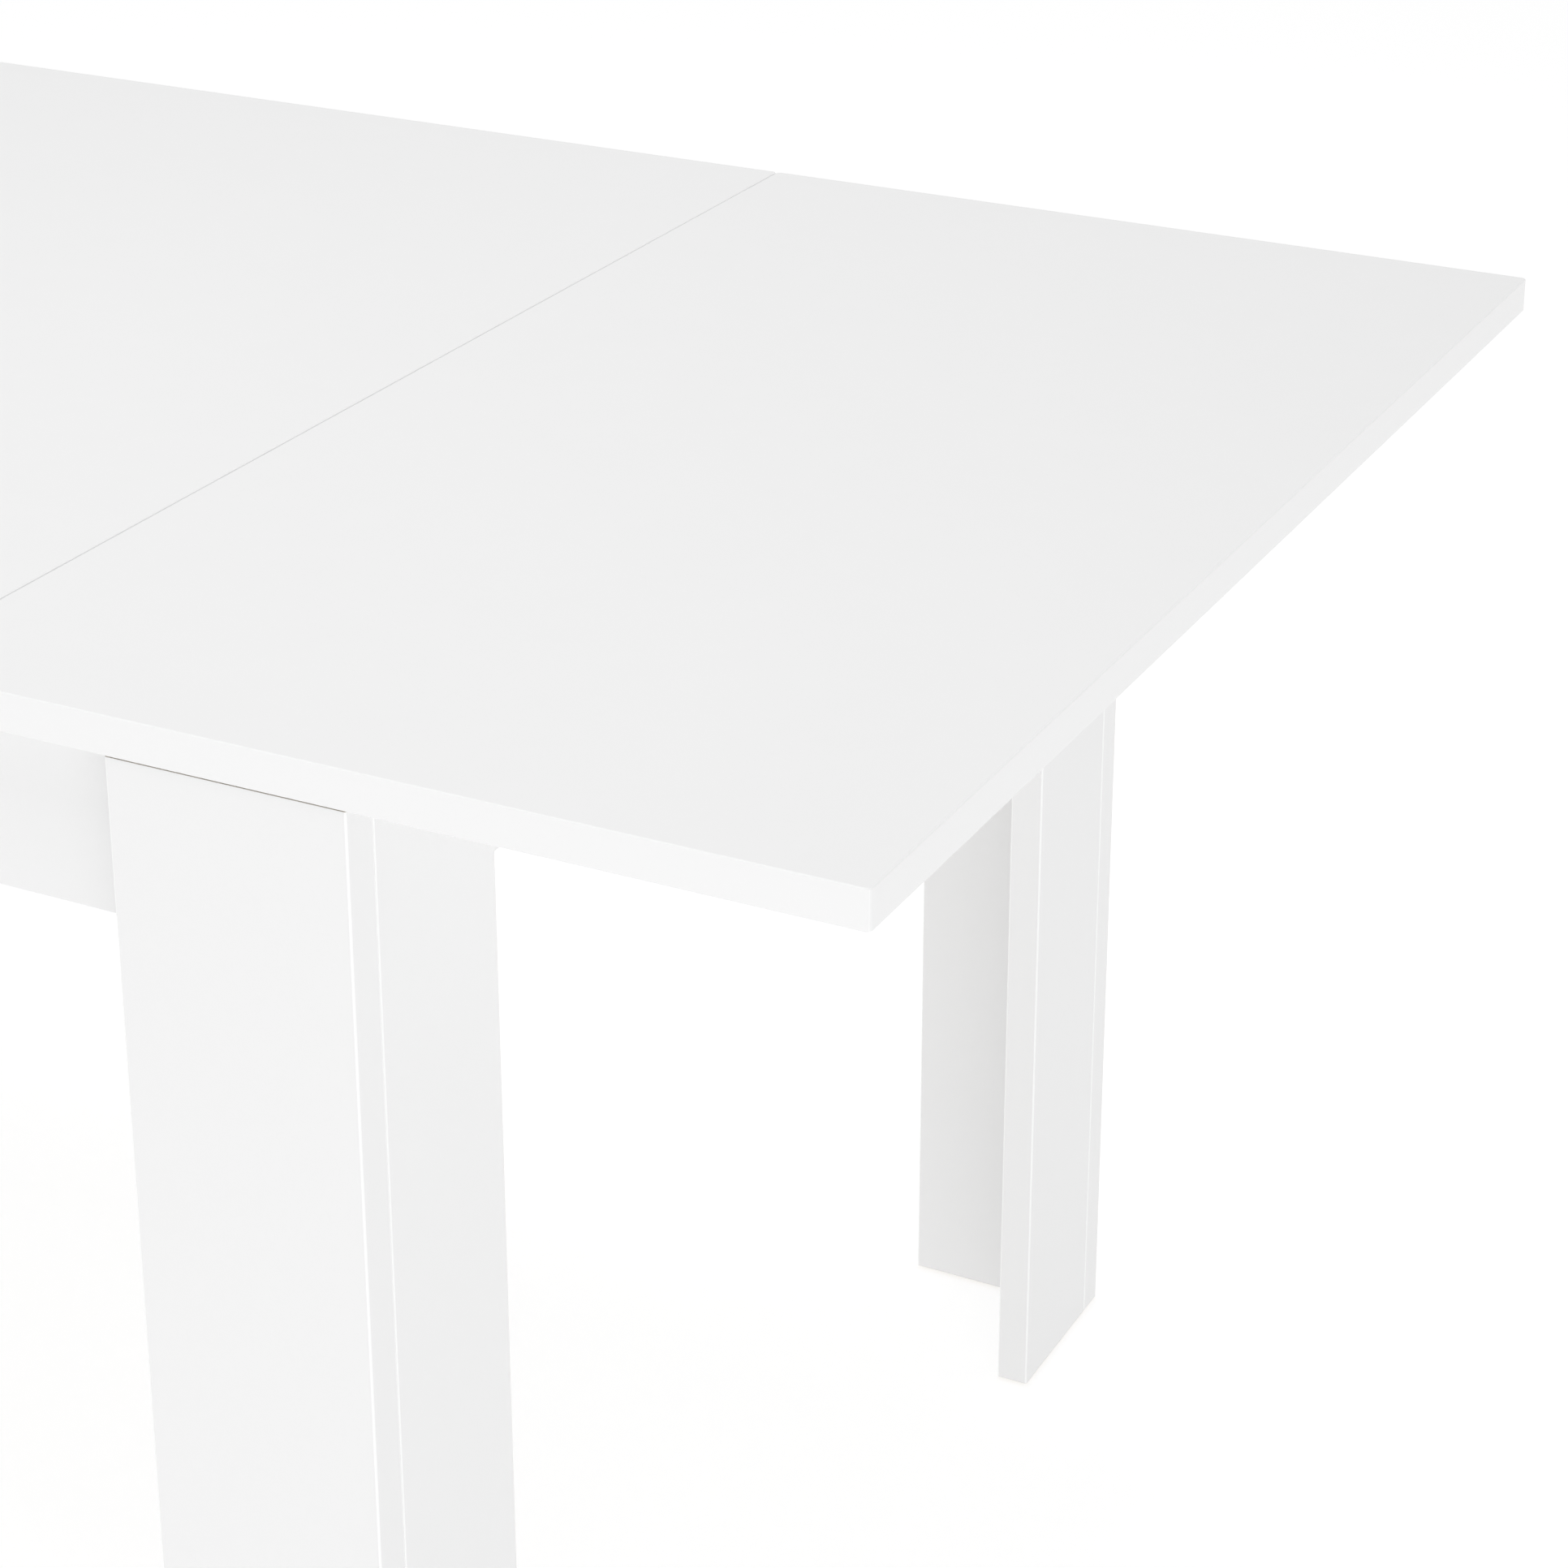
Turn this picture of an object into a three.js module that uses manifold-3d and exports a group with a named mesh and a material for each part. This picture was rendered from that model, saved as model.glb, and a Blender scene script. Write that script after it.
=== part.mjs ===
// One-ended extension table: a slab top that slides on the base, and an end leaf that folds over onto it.
// Millimetres, +Z up. The origin is on the floor under the middle of the base. +X runs along the table
// towards the leaf, and -Y is the front. The table stands open: the top is drawn back and the leaf is flat.
import * as THREE from "three";
import { mergeVertices } from "three/addons/utils/BufferGeometryUtils.js";
import Module from "manifold-3d";

const wasm = await Module();
wasm.setup();

// Table top
const TABLE_HEIGHT = 780;
const TOP_WIDTH = 900;
const MAIN_TOP_LENGTH = 1400;
const LEAF_LENGTH = 500;
const TOP_THICKNESS = 20;
const TOP_CORNER_RADIUS = 3;
const TOP_EDGE_RADIUS = 0.8;
const SEAM_GAP = 0.5;

// Base
const BASE_END_INSET = 1;
const BASE_SIDE_INSET = 1.5;
const TOP_TO_BASE_GAP = 1;
const LEG_SIDE_BOARD_WIDTH = 127;
const LEG_END_BOARD_WIDTH = 100;
const LEG_BOARD_THICKNESS = 21;
const BOARD_EDGE_RADIUS = 1;
const APRON_HEIGHT = 92;
const APRON_THICKNESS = 21;
const GLIDE_DIAMETER = 17;
const GLIDE_HEIGHT = 2;
const GLIDE_NAIL_DIAMETER = 3;
const GLIDE_NAIL_LENGTH = 16;
const GLIDE_NAIL_POINT = 3;
const GLIDE_FACE_DIAMETER = 14;
const CORNER_BLOCK_LEG = 58;
const CORNER_BLOCK_RISE = 5;
const CORNER_BLOCK_HEADROOM = 9;
const CROSS_RAIL_SPACING = 440;
const CROSS_RAIL_THICKNESS = 18;
const CROSS_RAIL_HEADROOM = 9;
const LEG_BOLT_DIAMETER = 6;
const LEG_BOLT_HEAD_DIAMETER = 14;
const LEG_BOLT_CROWN_DIAMETER = 11;
const LEG_BOLT_HEAD_HEIGHT = 3.5;
const LEG_BOLT_BITE = 14;
const LEG_BOLT_DROP = 20;

// Slide
const RUNNER_WIDTH = 22;
const RUNNER_HEIGHT = 44;
const RUNNER_TO_GUIDE = 2;
const TONGUE_HEIGHT = 10;
const TONGUE_SIDE_CLEARANCE = 2;
const TONGUE_DROP = 20;
const GUIDE_WALL = 2.5;
const GUIDE_DEPTH = 14;
const GUIDE_CLEARANCE = 0.5;
const GUIDE_END_MARGIN = 56;
const GUIDE_STOP_LENGTH = 22;
const STOP_CLEARANCE = 0.3;
const BATTEN_WIDTH = 60;
const BATTEN_THICKNESS = 18;
const BATTEN_END_MARGIN = 60;
const SLIDE_BUTTON_DIAMETER = 12;
const SLIDE_BUTTON_PROUD = 0.7;
const SLIDE_BUTTON_DEPTH = 8;
const SLIDE_BUTTON_END_MARGIN = 90;

// Leaf hinges: a bowed link turns about an axis just above the seam, inside two cases let into the edges.
const HINGE_AXIS_RISE = 1;
const HINGE_SIDE_MARGIN = 120;
const HINGE_LINK_INNER_RADIUS = 9;
const HINGE_LINK_OUTER_RADIUS = 12;
const HINGE_LINK_WIDTH = 5;
const HINGE_LINK_END_ANGLE = THREE.MathUtils.degToRad(15);
const HINGE_CASE_LENGTH = 44;
const HINGE_CASE_DEPTH = 14;
const HINGE_CASE_TOP_DROP = 4;
const HINGE_CASE_HEIGHT = 11;
const HINGE_CASE_ROUND = 5;

// Clearances
const JOINT_GAP = 0.2;
const BORE_CLEARANCE = 0.3;
const SLOT_CLEARANCE = 0.3;

// Fineness of rounds
const ARC_STEPS = 24;
const CASE_STEPS = 6;
const EDGE_STEPS = 4;
const ROUND_SIDES = 24;
const WELD_DISTANCE = 1e-4;

// Levels and faces that several pieces share
const topUnderside = TABLE_HEIGHT - TOP_THICKNESS;
const baseTop = topUnderside - TOP_TO_BASE_GAP;
const apronBottom = baseTop - APRON_HEIGHT;
const slideTravel = LEAF_LENGTH / 2;
const openLength = MAIN_TOP_LENGTH + LEAF_LENGTH;
const seamX = openLength / 2 - LEAF_LENGTH;
const legEndFace = MAIN_TOP_LENGTH / 2 - BASE_END_INSET;
const legSideFace = TOP_WIDTH / 2 - BASE_SIDE_INSET;
const apronEndFace = legEndFace - LEG_BOARD_THICKNESS;
const apronSideFace = legSideFace - LEG_BOARD_THICKNESS;
const innerEndFace = apronEndFace - APRON_THICKNESS;
const innerSideFace = apronSideFace - APRON_THICKNESS;
const hingeAxisZ = TABLE_HEIGHT + HINGE_AXIS_RISE;
const guideBack = innerSideFace - JOINT_GAP;
const runnerOuterFace = guideBack - GUIDE_DEPTH - RUNNER_TO_GUIDE;
const tongueOuterFace = guideBack - GUIDE_WALL - TONGUE_SIDE_CLEARANCE;
const runnerMiddleX = -slideTravel / 2;
const guideBottom = topUnderside - TONGUE_DROP - TONGUE_HEIGHT - GUIDE_CLEARANCE - GUIDE_WALL;
const guideHeight = TONGUE_HEIGHT + 2 * (GUIDE_CLEARANCE + GUIDE_WALL);
const guideLength = 2 * (innerEndFace - GUIDE_END_MARGIN);
const guideStopFace = guideLength / 2 - GUIDE_STOP_LENGTH;
const runnerLength = 2 * (guideStopFace - STOP_CLEARANCE) - slideTravel;
const runnerBottom = topUnderside - RUNNER_HEIGHT;
const cornerBlockHeight = guideBottom - CORNER_BLOCK_HEADROOM - apronBottom - CORNER_BLOCK_RISE;
const crossRailHeight = runnerBottom - CROSS_RAIL_HEADROOM - apronBottom;
const hingePitch = TOP_WIDTH / 2 - HINGE_SIDE_MARGIN;

const finishes = {
  top_white: new THREE.MeshStandardMaterial({ color: 0xf1f1f0, roughness: 0.42, metalness: 0 }),
  board_white: new THREE.MeshStandardMaterial({ color: 0xf2f2f1, roughness: 0.46, metalness: 0 }),
  inner_wood: new THREE.MeshStandardMaterial({ color: 0xd9c39a, roughness: 0.75, metalness: 0 }),
  plastic_white: new THREE.MeshStandardMaterial({ color: 0xe9e9e6, roughness: 0.5, metalness: 0 }),
  plastic_black: new THREE.MeshStandardMaterial({ color: 0x2b2b2c, roughness: 0.55, metalness: 0 }),
  aluminium: new THREE.MeshStandardMaterial({ color: 0xb9bcc0, roughness: 0.38, metalness: 1 }),
  steel: new THREE.MeshStandardMaterial({ color: 0xa7a9ac, roughness: 0.32, metalness: 1 }),
};

const tableEnds = [["left", -1], ["right", 1]];
const tableSides = [["front", -1], ["rear", 1]];

const table = new THREE.Group();

function place(name, geometry, finish) {
  const mesh = new THREE.Mesh(geometry, finishes[finish]);
  mesh.name = name;
  table.add(mesh);
  return mesh;
}

// A geometry as a manifold solid, and back.
function solid(geometry) {
  const bare = geometry.clone();
  bare.deleteAttribute("normal");
  bare.deleteAttribute("uv");
  const merged = mergeVertices(bare, WELD_DISTANCE);
  return new wasm.Manifold(new wasm.Mesh({
    numProp: 3,
    vertProperties: merged.attributes.position.array,
    triVerts: new Uint32Array(merged.index.array),
  }));
}

function geometryOf(manifold) {
  const mesh = manifold.getMesh();
  const geometry = new THREE.BufferGeometry();
  geometry.setAttribute("position", new THREE.BufferAttribute(new Float32Array(mesh.vertProperties), 3));
  geometry.setIndex(new THREE.BufferAttribute(new Uint32Array(mesh.triVerts), 1));
  return geometry;
}

function cut(geometry, tools) {
  return geometryOf(tools.reduce((body, tool) => body.subtract(solid(tool)), solid(geometry)));
}

function ordered(first, second) {
  return first < second ? [first, second] : [second, first];
}

// A plain block between two corners.
function block(low, high) {
  const size = high.map((value, axis) => value - low[axis]);
  const middle = high.map((value, axis) => (value + low[axis]) / 2);
  return new THREE.BoxGeometry(...size).translate(...middle);
}

function roundedOutline(width, height, radius) {
  const x = width / 2;
  const y = height / 2;
  const outline = new THREE.Shape();
  outline.moveTo(-x + radius, -y);
  outline.lineTo(x - radius, -y);
  outline.absarc(x - radius, -y + radius, radius, -Math.PI / 2, 0, false);
  outline.lineTo(x, y - radius);
  outline.absarc(x - radius, y - radius, radius, 0, Math.PI / 2, false);
  outline.lineTo(-x + radius, y);
  outline.absarc(-x + radius, y - radius, radius, Math.PI / 2, Math.PI, false);
  outline.lineTo(-x, -y + radius);
  outline.absarc(-x + radius, -y + radius, radius, Math.PI, 1.5 * Math.PI, false);
  return outline;
}

// An outline in the XY plane drawn out along +Z; steps is how many chords make each of its quarter rounds.
function extruded(outline, depth, steps) {
  return new THREE.ExtrudeGeometry(outline, { depth, bevelEnabled: false, curveSegments: steps });
}

// A board that stands on its end: its long edges are rounded, its ends are square.
function standingBoard(low, high) {
  const outline = roundedOutline(high[0] - low[0], high[1] - low[1], BOARD_EDGE_RADIUS);
  const board = extruded(outline, high[2] - low[2], EDGE_STEPS);
  return board.translate((low[0] + high[0]) / 2, (low[1] + high[1]) / 2, low[2]);
}

// A board on its edge along X: its two upper and two lower edges are rounded.
function lyingBoard(low, high) {
  const outline = roundedOutline(high[2] - low[2], high[1] - low[1], BOARD_EDGE_RADIUS);
  const board = extruded(outline, high[0] - low[0], EDGE_STEPS);
  board.rotateY(Math.PI / 2);
  return board.translate(low[0], (low[1] + high[1]) / 2, (low[2] + high[2]) / 2);
}

// A flat top panel with round plan corners and every edge eased.
function topPanel(lowX, highX) {
  const inset = 2 * TOP_EDGE_RADIUS;
  const cornerRadius = TOP_CORNER_RADIUS - TOP_EDGE_RADIUS;
  const outline = roundedOutline(highX - lowX - inset, TOP_WIDTH - inset, cornerRadius);
  const panel = new THREE.ExtrudeGeometry(outline, {
    depth: TOP_THICKNESS - inset,
    bevelThickness: TOP_EDGE_RADIUS,
    bevelSize: TOP_EDGE_RADIUS,
    bevelSegments: EDGE_STEPS,
    curveSegments: EDGE_STEPS,
  });
  return panel.translate((lowX + highX) / 2, 0, topUnderside + TOP_EDGE_RADIUS);
}

// A turned piece from radius and height pairs; its axis is +Z.
function turned(profile) {
  const points = profile.map(([radius, height]) => new THREE.Vector2(radius, height));
  return new THREE.LatheGeometry(points, ROUND_SIDES).rotateX(Math.PI / 2);
}

function rod(diameter, bottom, top) {
  return turned([[0, bottom], [diameter / 2, bottom], [diameter / 2, top], [0, top]]);
}

// Part of a ring about the hinge axis, lying in the XZ plane, from angle to angle.
function ringSector(innerRadius, outerRadius, from, to, width) {
  const outline = new THREE.Shape();
  outline.absarc(0, 0, outerRadius, from, to, false);
  outline.absarc(0, 0, innerRadius, to, from, true);
  return extruded(outline, width, ARC_STEPS).rotateX(Math.PI / 2).translate(0, width / 2, 0);
}

// Legs: at each corner a side board covers the edge of an end board, which makes an L in plan.
const glideBore = rod(GLIDE_NAIL_DIAMETER + 2 * BORE_CLEARANCE, 0, GLIDE_HEIGHT + GLIDE_NAIL_LENGTH);

function legBolt(clearance) {
  const shank = LEG_BOLT_DIAMETER / 2 + clearance;
  const head = LEG_BOLT_HEAD_DIAMETER / 2;
  const reach = APRON_THICKNESS + LEG_BOLT_BITE + clearance;
  return turned([
    [0, -JOINT_GAP - LEG_BOLT_HEAD_HEIGHT],
    [LEG_BOLT_CROWN_DIAMETER / 2, -JOINT_GAP - LEG_BOLT_HEAD_HEIGHT],
    [head, -JOINT_GAP - LEG_BOLT_HEAD_HEIGHT / 2],
    [head, -JOINT_GAP],
    [shank, -JOINT_GAP],
    [shank, reach],
    [0, reach],
  ]);
}

function legBoltAt(geometry, endSign, sideSign) {
  const x = endSign * (legEndFace - LEG_SIDE_BOARD_WIDTH / 2);
  const upright = geometry.rotateX(-sideSign * Math.PI / 2);
  return upright.translate(x, sideSign * innerSideFace, baseTop - LEG_BOLT_DROP);
}

function addLeg(end, side, endSign, sideSign) {
  const sideMiddleX = endSign * (legEndFace - LEG_SIDE_BOARD_WIDTH / 2);
  const sideMiddleY = sideSign * (legSideFace - LEG_BOARD_THICKNESS / 2);
  const endMiddleX = endSign * (legEndFace - LEG_BOARD_THICKNESS / 2);
  const endOuterY = apronSideFace - JOINT_GAP;
  const endMiddleY = sideSign * (endOuterY - LEG_END_BOARD_WIDTH / 2);
  const name = `${end}_${side}`;
  const sideBoard = standingBoard(
    [sideMiddleX - LEG_SIDE_BOARD_WIDTH / 2, sideMiddleY - LEG_BOARD_THICKNESS / 2, GLIDE_HEIGHT],
    [sideMiddleX + LEG_SIDE_BOARD_WIDTH / 2, sideMiddleY + LEG_BOARD_THICKNESS / 2, baseTop],
  );
  const endBoard = standingBoard(
    [endMiddleX - LEG_BOARD_THICKNESS / 2, endMiddleY - LEG_END_BOARD_WIDTH / 2, GLIDE_HEIGHT],
    [endMiddleX + LEG_BOARD_THICKNESS / 2, endMiddleY + LEG_END_BOARD_WIDTH / 2, baseTop],
  );
  const sideGlideBore = glideBore.clone().translate(sideMiddleX, sideMiddleY, 0);
  const endGlideBore = glideBore.clone().translate(endMiddleX, endMiddleY, 0);
  const boltBore = legBoltAt(legBolt(BORE_CLEARANCE), endSign, sideSign);
  place(`leg_side_board_${name}`, cut(sideBoard, [sideGlideBore, boltBore]), "board_white");
  place(`leg_end_board_${name}`, cut(endBoard, [endGlideBore]), "board_white");
  place(`leg_bolt_${name}`, legBoltAt(legBolt(0), endSign, sideSign), "steel");
  place(`glide_side_board_${name}`, glide().translate(sideMiddleX, sideMiddleY, 0), "plastic_white");
  place(`glide_end_board_${name}`, glide().translate(endMiddleX, endMiddleY, 0), "plastic_white");
}

// A nail-on glide: a low dished disc with its nail.
function glide() {
  const disc = GLIDE_DIAMETER / 2;
  const nail = GLIDE_NAIL_DIAMETER / 2;
  const underBoard = GLIDE_HEIGHT - JOINT_GAP;
  const tip = GLIDE_HEIGHT + GLIDE_NAIL_LENGTH - BORE_CLEARANCE;
  return turned([
    [0, 0],
    [GLIDE_FACE_DIAMETER / 2, 0],
    [disc, underBoard / 2],
    [disc, underBoard],
    [nail, underBoard],
    [nail, tip - GLIDE_NAIL_POINT],
    [0, tip],
  ]);
}

// Apron frame
function slideButton() {
  const radius = SLIDE_BUTTON_DIAMETER / 2;
  const ease = SLIDE_BUTTON_PROUD / 2;
  return turned([
    [0, -SLIDE_BUTTON_DEPTH],
    [radius, -SLIDE_BUTTON_DEPTH],
    [radius, SLIDE_BUTTON_PROUD - ease],
    [radius - ease, SLIDE_BUTTON_PROUD],
    [0, SLIDE_BUTTON_PROUD],
  ]);
}

function addSideApron(side, sideSign) {
  const middleY = sideSign * (innerSideFace + APRON_THICKNESS / 2);
  const halfLength = apronEndFace - JOINT_GAP;
  const halfThickness = (APRON_THICKNESS - JOINT_GAP) / 2;
  const apron = lyingBoard(
    [-halfLength, middleY - halfThickness, apronBottom],
    [halfLength, middleY + halfThickness, baseTop],
  );
  const boreDiameter = SLIDE_BUTTON_DIAMETER + 2 * BORE_CLEARANCE;
  const buttonBore = rod(boreDiameter, -SLIDE_BUTTON_DEPTH - BORE_CLEARANCE, SLIDE_BUTTON_PROUD);
  const buttonX = innerEndFace - SLIDE_BUTTON_END_MARGIN;
  const tools = tableEnds.flatMap(([, endSign]) => [
    legBoltAt(legBolt(BORE_CLEARANCE), endSign, sideSign),
    buttonBore.clone().translate(endSign * buttonX, middleY, baseTop),
  ]);
  place(`apron_${side}`, cut(apron, tools), "board_white");
  for (const [end, endSign] of tableEnds) {
    const button = slideButton().translate(endSign * buttonX, middleY, baseTop);
    place(`slide_button_${end}_${side}`, button, "plastic_white");
  }
}

function addEndApron(end, endSign) {
  const faces = ordered(endSign * innerEndFace, endSign * (apronEndFace - JOINT_GAP));
  const halfWidth = innerSideFace - JOINT_GAP;
  const apron = lyingBoard([-halfWidth, faces[0], apronBottom], [halfWidth, faces[1], baseTop]);
  place(`apron_${end}`, turnedToEnd(apron, faces), "board_white");
}

// Turns a board made along X so that it runs along Y between two end faces.
function turnedToEnd(board, faces) {
  const middle = (faces[0] + faces[1]) / 2;
  return board.translate(0, -middle, 0).rotateZ(Math.PI / 2).translate(middle, 0, 0);
}

function addCornerBlock(end, side, endSign, sideSign) {
  const outline = new THREE.Shape();
  const nose = APRON_THICKNESS / 2;
  outline.moveTo(0, 0);
  outline.lineTo(CORNER_BLOCK_LEG, 0);
  outline.lineTo(CORNER_BLOCK_LEG, nose);
  outline.lineTo(nose, CORNER_BLOCK_LEG);
  outline.lineTo(0, CORNER_BLOCK_LEG);
  const prism = extruded(outline, cornerBlockHeight, EDGE_STEPS);
  const turn = Math.atan2(-sideSign, -endSign) - Math.PI / 4;
  const x = endSign * (innerEndFace - JOINT_GAP);
  const y = sideSign * (innerSideFace - JOINT_GAP);
  const seated = prism.rotateZ(turn).translate(x, y, apronBottom + CORNER_BLOCK_RISE);
  place(`corner_block_${end}_${side}`, seated, "inner_wood");
}

function addCrossRail(end, endSign) {
  const x = endSign * CROSS_RAIL_SPACING / 2;
  const halfWidth = innerSideFace - JOINT_GAP;
  const rail = block(
    [x - CROSS_RAIL_THICKNESS / 2, -halfWidth, apronBottom],
    [x + CROSS_RAIL_THICKNESS / 2, halfWidth, apronBottom + crossRailHeight],
  );
  place(`cross_rail_${end}`, rail, "board_white");
}

// Slide: an aluminium channel on each side apron, and a tongued runner under the top.
function addGuide(side, sideSign) {
  const outline = new THREE.Shape();
  outline.moveTo(0, 0);
  outline.lineTo(GUIDE_DEPTH, 0);
  outline.lineTo(GUIDE_DEPTH, GUIDE_WALL);
  outline.lineTo(GUIDE_WALL, GUIDE_WALL);
  outline.lineTo(GUIDE_WALL, guideHeight - GUIDE_WALL);
  outline.lineTo(GUIDE_DEPTH, guideHeight - GUIDE_WALL);
  outline.lineTo(GUIDE_DEPTH, guideHeight);
  outline.lineTo(0, guideHeight);
  const channel = extruded(outline, guideLength, EDGE_STEPS);
  // The outline's x runs inwards from the apron, its y runs up, and its length runs along the table.
  channel.rotateX(Math.PI / 2).rotateZ(-sideSign * Math.PI / 2);
  channel.translate(sideSign * guideLength / 2, sideSign * guideBack, guideBottom);
  place(`guide_${side}`, channel, "aluminium");
  for (const [end, endSign] of tableEnds) {
    const ends = ordered(endSign * guideStopFace, endSign * (guideStopFace + GUIDE_STOP_LENGTH));
    const faces = ordered(
      sideSign * (guideBack - GUIDE_WALL - GUIDE_CLEARANCE),
      sideSign * (guideBack - GUIDE_DEPTH),
    );
    const stop = block(
      [ends[0], faces[0], guideBottom + GUIDE_WALL + JOINT_GAP],
      [ends[1], faces[1], guideBottom + guideHeight - GUIDE_WALL - JOINT_GAP],
    );
    place(`guide_stop_${end}_${side}`, stop, "plastic_black");
  }
}

function addRunner(side, sideSign) {
  const ends = [runnerMiddleX - runnerLength / 2, runnerMiddleX + runnerLength / 2];
  const faces = ordered(sideSign * runnerOuterFace, sideSign * (runnerOuterFace - RUNNER_WIDTH));
  const runner = block(
    [ends[0], faces[0], runnerBottom],
    [ends[1], faces[1], topUnderside - JOINT_GAP],
  );
  const tongueFaces = ordered(sideSign * (runnerOuterFace + JOINT_GAP), sideSign * tongueOuterFace);
  const tongueTop = topUnderside - TONGUE_DROP;
  const tongue = block(
    [ends[0], tongueFaces[0], tongueTop - TONGUE_HEIGHT],
    [ends[1], tongueFaces[1], tongueTop],
  );
  place(`runner_${side}`, runner, "inner_wood");
  place(`runner_tongue_${side}`, tongue, "plastic_white");
}

function addTopBatten(end, endSign) {
  const x = runnerMiddleX + endSign * (runnerLength / 2 - BATTEN_END_MARGIN - BATTEN_WIDTH / 2);
  const halfLength = runnerOuterFace - RUNNER_WIDTH - JOINT_GAP;
  const batten = block(
    [x - BATTEN_WIDTH / 2, -halfLength, topUnderside - BATTEN_THICKNESS],
    [x + BATTEN_WIDTH / 2, halfLength, topUnderside - JOINT_GAP],
  );
  place(`top_batten_${end}`, batten, "inner_wood");
}

// Hinges. Each piece is made about the axis and then moved to its place along the seam.
const hingePlaces = [["front", -hingePitch], ["middle", 0], ["rear", hingePitch]];

function atHinge(geometry, y) {
  return geometry.translate(seamX, y, hingeAxisZ);
}

function linkSlot(sign) {
  const end = HINGE_LINK_END_ANGLE - SLOT_CLEARANCE / HINGE_LINK_INNER_RADIUS;
  const start = sign < 0 ? Math.PI + end : 1.5 * Math.PI;
  const finish = sign < 0 ? 1.5 * Math.PI : 2 * Math.PI - end;
  return ringSector(
    HINGE_LINK_INNER_RADIUS - SLOT_CLEARANCE,
    HINGE_LINK_OUTER_RADIUS + SLOT_CLEARANCE,
    start,
    finish,
    HINGE_LINK_WIDTH + 2 * SLOT_CLEARANCE,
  );
}

function hingeCase(sign, clearance) {
  const face = SEAM_GAP / 2 + JOINT_GAP;
  const near = sign * (face - 2 * clearance);
  const far = sign * (face + HINGE_CASE_DEPTH + clearance);
  const top = -HINGE_AXIS_RISE - HINGE_CASE_TOP_DROP;
  const length = HINGE_CASE_LENGTH + 2 * clearance;
  const outline = roundedOutline(length, HINGE_CASE_HEIGHT + 2 * clearance, HINGE_CASE_ROUND);
  const body = extruded(outline, Math.abs(far - near), CASE_STEPS);
  // The outline's length runs along the seam, and it is carried from the edge into the board.
  body.rotateX(Math.PI / 2).rotateZ(Math.PI / 2);
  return body.translate(Math.min(near, far), 0, top - HINGE_CASE_HEIGHT / 2);
}

function addHinge(name, y) {
  const link = ringSector(
    HINGE_LINK_INNER_RADIUS,
    HINGE_LINK_OUTER_RADIUS,
    Math.PI + HINGE_LINK_END_ANGLE,
    2 * Math.PI - HINGE_LINK_END_ANGLE,
    HINGE_LINK_WIDTH,
  );
  place(`hinge_link_${name}`, atHinge(link, y), "steel");
  for (const [half, sign] of [["top", -1], ["leaf", 1]]) {
    const slotted = cut(hingeCase(sign, 0), [linkSlot(sign)]);
    place(`hinge_case_${half}_${name}`, atHinge(slotted, y), "steel");
  }
}

function addPanel(name, lowX, highX, seamSign) {
  const mortises = hingePlaces.flatMap(([, y]) => [
    atHinge(hingeCase(seamSign, BORE_CLEARANCE), y),
    atHinge(linkSlot(seamSign), y),
  ]);
  place(name, cut(topPanel(lowX, highX), mortises), "top_white");
}

addPanel("main_top", seamX - MAIN_TOP_LENGTH, seamX - SEAM_GAP / 2, -1);
addPanel("leaf_top", seamX + SEAM_GAP / 2, seamX + LEAF_LENGTH, 1);
for (const [name, y] of hingePlaces) {
  addHinge(name, y);
}
for (const [side, sideSign] of tableSides) {
  addSideApron(side, sideSign);
  addGuide(side, sideSign);
  addRunner(side, sideSign);
  for (const [end, endSign] of tableEnds) {
    addLeg(end, side, endSign, sideSign);
    addCornerBlock(end, side, endSign, sideSign);
  }
}
for (const [end, endSign] of tableEnds) {
  addEndApron(end, endSign);
  addCrossRail(end, endSign);
  addTopBatten(end, endSign);
}

export default table;
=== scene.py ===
"""A white one-ended extension table: finishes for the boards and fittings, the small hardware, and a studio.

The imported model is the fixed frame. This file gives its boards, wood, plastic and metal their finishes,
adds the screws, cams and bolts that hold it together, and sets the floor, lights and camera.
"""
import math

import bpy
import numpy as np
from bpy.props import FloatProperty, FloatVectorProperty, IntProperty, PointerProperty
from mathutils import Euler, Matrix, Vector


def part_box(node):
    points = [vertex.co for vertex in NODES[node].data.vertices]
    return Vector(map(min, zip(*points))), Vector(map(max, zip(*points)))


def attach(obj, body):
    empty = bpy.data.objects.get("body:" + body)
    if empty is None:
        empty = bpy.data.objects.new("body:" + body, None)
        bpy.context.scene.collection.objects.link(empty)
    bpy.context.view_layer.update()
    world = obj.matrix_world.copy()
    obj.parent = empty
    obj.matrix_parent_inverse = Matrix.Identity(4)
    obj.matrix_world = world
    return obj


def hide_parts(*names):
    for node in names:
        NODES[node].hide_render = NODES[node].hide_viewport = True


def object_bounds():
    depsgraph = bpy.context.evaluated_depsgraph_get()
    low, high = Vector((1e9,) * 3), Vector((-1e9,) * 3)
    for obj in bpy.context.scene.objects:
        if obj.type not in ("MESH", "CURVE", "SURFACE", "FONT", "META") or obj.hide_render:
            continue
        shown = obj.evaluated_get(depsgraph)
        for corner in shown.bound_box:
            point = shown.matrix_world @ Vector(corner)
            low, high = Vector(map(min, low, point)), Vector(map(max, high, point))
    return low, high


bl_info = {
    "name": "Extension table",
    "version": (1, 0, 0),
    "blender": (4, 5, 0),
    "location": "View3D > Sidebar > Table",
    "description": "Finishes, hardware and studio for a white extension table",
    "category": "Object",
}

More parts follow.
